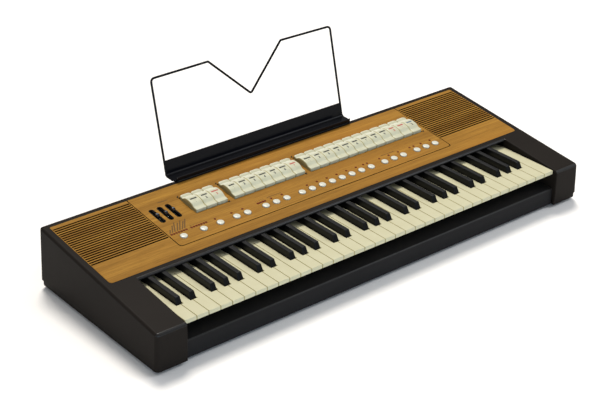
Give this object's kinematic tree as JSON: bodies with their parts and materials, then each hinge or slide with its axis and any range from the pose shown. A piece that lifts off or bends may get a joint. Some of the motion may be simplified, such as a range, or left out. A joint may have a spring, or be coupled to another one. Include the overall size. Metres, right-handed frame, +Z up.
{
  "type": "electronic organ",
  "caption": "Table-top electronic organ with a full-size keyboard, rocker stop tabs, push buttons, slide controls, wood top panel and lift-off wire music rest.",
  "frame": {"origin": "middle of the footprint (case and music rest together), on the surface that the feet stand on", "axes": "+X to the right along the keys, from bass to treble; +Y to the rear, away from the player; +Z up"},
  "size_m": [0.9712, 0.4106, 0.2972],
  "materials": {
    "case_plastic": "charcoal moulded plastic, fine leather grain, satin",
    "rail_plastic": "black satin",
    "wood_veneer": "honey-coloured open-grain veneer, satin lacquer",
    "ivory_plastic": "warm ivory, semi-gloss",
    "black_key_plastic": "black, satin",
    "tab_plastic": "cream, semi-gloss",
    "button_plastic": "translucent white, semi-gloss",
    "knob_plastic": "black, satin",
    "black_steel": "black powder coat, satin",
    "steel": "zinc plated",
    "circuit_board": "green solder mask",
    "rubber": "matt",
    "speaker_cone": "pulp cone in a pressed frame",
    "transformer_core": "varnished laminations"
  },
  "bodies": {
    "case": {"upper_housing": "case_plastic", "base_tray": "case_plastic", "speaker_panel": "wood_veneer", "control_panel": "wood_veneer", "front_rail": "rail_plastic", "rear_panel": "black_steel", "key_chassis": "black_steel", "key_contact_board": "circuit_board", "main_board": "circuit_board", "panel_board": "circuit_board", "amplifier_board": "circuit_board", "transformer": "transformer_core", "mains_inlet": "knob_plastic", "socket_strip": "knob_plastic", "left_speaker": "speaker_cone", "right_speaker": "speaker_cone", "foot_front_left": "rubber", "foot_front_right": "rubber", "foot_rear_left": "rubber", "foot_rear_right": "rubber"},
    "white_keys_octave_1": {"white_keys_octave_1": "ivory_plastic"},
    "black_keys_octave_1": {"black_keys_octave_1": "black_key_plastic"},
    "white_keys_octave_2": {"white_keys_octave_2": "ivory_plastic"},
    "black_keys_octave_2": {"black_keys_octave_2": "black_key_plastic"},
    "key_c": {"key_c": "ivory_plastic"},
    "key_d": {"key_d": "ivory_plastic"},
    "key_e": {"key_e": "ivory_plastic"},
    "key_f": {"key_f": "ivory_plastic"},
    "key_g": {"key_g": "ivory_plastic"},
    "key_a": {"key_a": "ivory_plastic"},
    "key_b": {"key_b": "ivory_plastic"},
    "key_c_sharp": {"key_c_sharp": "black_key_plastic"},
    "key_d_sharp": {"key_d_sharp": "black_key_plastic"},
    "key_f_sharp": {"key_f_sharp": "black_key_plastic"},
    "key_g_sharp": {"key_g_sharp": "black_key_plastic"},
    "key_a_sharp": {"key_a_sharp": "black_key_plastic"},
    "white_keys_octave_4": {"white_keys_octave_4": "ivory_plastic"},
    "black_keys_octave_4": {"black_keys_octave_4": "black_key_plastic"},
    "white_keys_octave_5": {"white_keys_octave_5": "ivory_plastic"},
    "black_keys_octave_5": {"black_keys_octave_5": "black_key_plastic"},
    "key_top_c": {"key_top_c": "ivory_plastic"},
    "stop_tab_1": {"stop_tab_1": "tab_plastic"},
    "stop_tab_2": {"stop_tab_2": "tab_plastic"},
    "stop_tab_3": {"stop_tab_3": "tab_plastic"},
    "stop_tab_bank_2": {"stop_tab_bank_2": "tab_plastic"},
    "stop_tab_bank_3": {"stop_tab_bank_3": "tab_plastic"},
    "button_1": {"button_1": "button_plastic"},
    "button_2": {"button_2": "button_plastic"},
    "button_3": {"button_3": "button_plastic"},
    "button_group_4": {"button_group_4": "button_plastic"},
    "button_group_5": {"button_group_5": "button_plastic"},
    "button_group_6": {"button_group_6": "button_plastic"},
    "button_group_7": {"button_group_7": "button_plastic"},
    "button_group_8": {"button_group_8": "button_plastic"},
    "slider_1": {"slider_1": "knob_plastic"},
    "slider_2": {"slider_2": "knob_plastic"},
    "slider_3": {"slider_3": "knob_plastic"},
    "power_switch": {"power_switch": "knob_plastic"},
    "music_rest": {"music_rest_ledge": "black_steel", "music_rest_wire": "black_steel"}
  },
  "joints": [
    {"name": "white_keys_octave_1_press", "type": "hinge", "parent": "case", "child": "white_keys_octave_1", "pos_m": [-0.34075, 0.0134, 0.068], "axis": [1, 0, 0], "range_deg": [0, 2.75], "stiffness_Nm_per_rad": 4.2, "springref_deg": -14.32},
    {"name": "black_keys_octave_1_press", "type": "hinge", "parent": "case", "child": "black_keys_octave_1", "pos_m": [-0.34075, 0.0134, 0.068], "axis": [1, 0, 0], "range_deg": [0, 2.75], "stiffness_Nm_per_rad": 3, "springref_deg": -14.32},
    {"name": "white_keys_octave_2_press", "type": "hinge", "parent": "case", "child": "white_keys_octave_2", "pos_m": [-0.17625, 0.0134, 0.068], "axis": [1, 0, 0], "range_deg": [0, 2.75], "stiffness_Nm_per_rad": 4.2, "springref_deg": -14.32},
    {"name": "black_keys_octave_2_press", "type": "hinge", "parent": "case", "child": "black_keys_octave_2", "pos_m": [-0.17625, 0.0134, 0.068], "axis": [1, 0, 0], "range_deg": [0, 2.75], "stiffness_Nm_per_rad": 3, "springref_deg": -14.32},
    {"name": "key_c_press", "type": "hinge", "parent": "case", "child": "key_c", "pos_m": [-0.08225, 0.0134, 0.068], "axis": [1, 0, 0], "range_deg": [0, 2.75], "stiffness_Nm_per_rad": 0.6, "springref_deg": -14.32},
    {"name": "key_d_press", "type": "hinge", "parent": "case", "child": "key_d", "pos_m": [-0.05875, 0.0134, 0.068], "axis": [1, 0, 0], "range_deg": [0, 2.75], "stiffness_Nm_per_rad": 0.6, "springref_deg": -14.32},
    {"name": "key_e_press", "type": "hinge", "parent": "case", "child": "key_e", "pos_m": [-0.03525, 0.0134, 0.068], "axis": [1, 0, 0], "range_deg": [0, 2.75], "stiffness_Nm_per_rad": 0.6, "springref_deg": -14.32},
    {"name": "key_f_press", "type": "hinge", "parent": "case", "child": "key_f", "pos_m": [-0.01175, 0.0134, 0.068], "axis": [1, 0, 0], "range_deg": [0, 2.75], "stiffness_Nm_per_rad": 0.6, "springref_deg": -14.32},
    {"name": "key_g_press", "type": "hinge", "parent": "case", "child": "key_g", "pos_m": [0.01175, 0.0134, 0.068], "axis": [1, 0, 0], "range_deg": [0, 2.75], "stiffness_Nm_per_rad": 0.6, "springref_deg": -14.32},
    {"name": "key_a_press", "type": "hinge", "parent": "case", "child": "key_a", "pos_m": [0.03525, 0.0134, 0.068], "axis": [1, 0, 0], "range_deg": [0, 2.75], "stiffness_Nm_per_rad": 0.6, "springref_deg": -14.32},
    {"name": "key_b_press", "type": "hinge", "parent": "case", "child": "key_b", "pos_m": [0.05875, 0.0134, 0.068], "axis": [1, 0, 0], "range_deg": [0, 2.75], "stiffness_Nm_per_rad": 0.6, "springref_deg": -14.32},
    {"name": "key_c_sharp_press", "type": "hinge", "parent": "case", "child": "key_c_sharp", "pos_m": [-0.07243, 0.0134, 0.068], "axis": [1, 0, 0], "range_deg": [0, 2.75], "stiffness_Nm_per_rad": 0.6, "springref_deg": -14.32},
    {"name": "key_d_sharp_press", "type": "hinge", "parent": "case", "child": "key_d_sharp", "pos_m": [-0.04463, 0.0134, 0.068], "axis": [1, 0, 0], "range_deg": [0, 2.75], "stiffness_Nm_per_rad": 0.6, "springref_deg": -14.32},
    {"name": "key_f_sharp_press", "type": "hinge", "parent": "case", "child": "key_f_sharp", "pos_m": [-0.00343, 0.0134, 0.068], "axis": [1, 0, 0], "range_deg": [0, 2.75], "stiffness_Nm_per_rad": 0.6, "springref_deg": -14.32},
    {"name": "key_g_sharp_press", "type": "hinge", "parent": "case", "child": "key_g_sharp", "pos_m": [0.02345, 0.0134, 0.068], "axis": [1, 0, 0], "range_deg": [0, 2.75], "stiffness_Nm_per_rad": 0.6, "springref_deg": -14.32},
    {"name": "key_a_sharp_press", "type": "hinge", "parent": "case", "child": "key_a_sharp", "pos_m": [0.05095, 0.0134, 0.068], "axis": [1, 0, 0], "range_deg": [0, 2.75], "stiffness_Nm_per_rad": 0.6, "springref_deg": -14.32},
    {"name": "white_keys_octave_4_press", "type": "hinge", "parent": "case", "child": "white_keys_octave_4", "pos_m": [0.15275, 0.0134, 0.068], "axis": [1, 0, 0], "range_deg": [0, 2.75], "stiffness_Nm_per_rad": 4.2, "springref_deg": -14.32},
    {"name": "black_keys_octave_4_press", "type": "hinge", "parent": "case", "child": "black_keys_octave_4", "pos_m": [0.15275, 0.0134, 0.068], "axis": [1, 0, 0], "range_deg": [0, 2.75], "stiffness_Nm_per_rad": 3, "springref_deg": -14.32},
    {"name": "white_keys_octave_5_press", "type": "hinge", "parent": "case", "child": "white_keys_octave_5", "pos_m": [0.31725, 0.0134, 0.068], "axis": [1, 0, 0], "range_deg": [0, 2.75], "stiffness_Nm_per_rad": 4.2, "springref_deg": -14.32},
    {"name": "black_keys_octave_5_press", "type": "hinge", "parent": "case", "child": "black_keys_octave_5", "pos_m": [0.31725, 0.0134, 0.068], "axis": [1, 0, 0], "range_deg": [0, 2.75], "stiffness_Nm_per_rad": 3, "springref_deg": -14.32},
    {"name": "key_top_c_press", "type": "hinge", "parent": "case", "child": "key_top_c", "pos_m": [0.41125, 0.0134, 0.068], "axis": [1, 0, 0], "range_deg": [0, 2.75], "stiffness_Nm_per_rad": 0.6, "springref_deg": -14.32},
    {"name": "stop_tab_1_rock", "type": "hinge", "parent": "case", "child": "stop_tab_1", "pos_m": [-0.2191, 0.08558, 0.10418], "axis": [1, 0, 0], "range_deg": [0, 4.5]},
    {"name": "stop_tab_2_rock", "type": "hinge", "parent": "case", "child": "stop_tab_2", "pos_m": [-0.19595, 0.08558, 0.10418], "axis": [1, 0, 0], "range_deg": [0, 4.5]},
    {"name": "stop_tab_3_rock", "type": "hinge", "parent": "case", "child": "stop_tab_3", "pos_m": [-0.1728, 0.08558, 0.10418], "axis": [1, 0, 0], "range_deg": [0, 4.5]},
    {"name": "stop_tab_bank_2_rock", "type": "hinge", "parent": "case", "child": "stop_tab_bank_2", "pos_m": [-0.06635, 0.08558, 0.10418], "axis": [1, 0, 0], "range_deg": [0, 4.5]},
    {"name": "stop_tab_bank_3_rock", "type": "hinge", "parent": "case", "child": "stop_tab_bank_3", "pos_m": [0.16532, 0.08558, 0.10418], "axis": [1, 0, 0], "range_deg": [0, 4.5]},
    {"name": "button_1_press", "type": "slide", "parent": "case", "child": "button_1", "axis": [0, 0.1141, -0.9935], "range_m": [0, 0.0015], "stiffness_N_per_m": 600, "springref_m": -0.0008},
    {"name": "button_2_press", "type": "slide", "parent": "case", "child": "button_2", "axis": [0, 0.1141, -0.9935], "range_m": [0, 0.0015], "stiffness_N_per_m": 600, "springref_m": -0.0008},
    {"name": "button_3_press", "type": "slide", "parent": "case", "child": "button_3", "axis": [0, 0.1141, -0.9935], "range_m": [0, 0.0015], "stiffness_N_per_m": 600, "springref_m": -0.0008},
    {"name": "button_group_4_press", "type": "slide", "parent": "case", "child": "button_group_4", "axis": [0, 0.1141, -0.9935], "range_m": [0, 0.0015], "stiffness_N_per_m": 1200, "springref_m": -0.0008},
    {"name": "button_group_5_press", "type": "slide", "parent": "case", "child": "button_group_5", "axis": [0, 0.1141, -0.9935], "range_m": [0, 0.0015], "stiffness_N_per_m": 1800, "springref_m": -0.0008},
    {"name": "button_group_6_press", "type": "slide", "parent": "case", "child": "button_group_6", "axis": [0, 0.1141, -0.9935], "range_m": [0, 0.0015], "stiffness_N_per_m": 4800, "springref_m": -0.0008},
    {"name": "button_group_7_press", "type": "slide", "parent": "case", "child": "button_group_7", "axis": [0, 0.1141, -0.9935], "range_m": [0, 0.0015], "stiffness_N_per_m": 1800, "springref_m": -0.0008},
    {"name": "button_group_8_press", "type": "slide", "parent": "case", "child": "button_group_8", "axis": [0, 0.1141, -0.9935], "range_m": [0, 0.0015], "stiffness_N_per_m": 1800, "springref_m": -0.0008},
    {"name": "slider_1_slide", "type": "slide", "parent": "case", "child": "slider_1", "axis": [0, 0.9935, 0.1141], "range_m": [-0.0175, 0.0183]},
    {"name": "slider_2_slide", "type": "slide", "parent": "case", "child": "slider_2", "axis": [0, 0.9935, 0.1141], "range_m": [-0.0165, 0.0193]},
    {"name": "slider_3_slide", "type": "slide", "parent": "case", "child": "slider_3", "axis": [0, 0.9935, 0.1141], "range_m": [-0.0189, 0.0169]},
    {"name": "power_switch_rock", "type": "hinge", "parent": "case", "child": "power_switch", "pos_m": [0.24, 0.1354, 0.044], "axis": [1, 0, 0], "range_deg": [-16, 0]},
    {"name": "music_rest_lift", "type": "slide", "parent": "case", "child": "music_rest", "axis": [0, 0, 1], "range_m": [0, 0.04]}
  ]
}
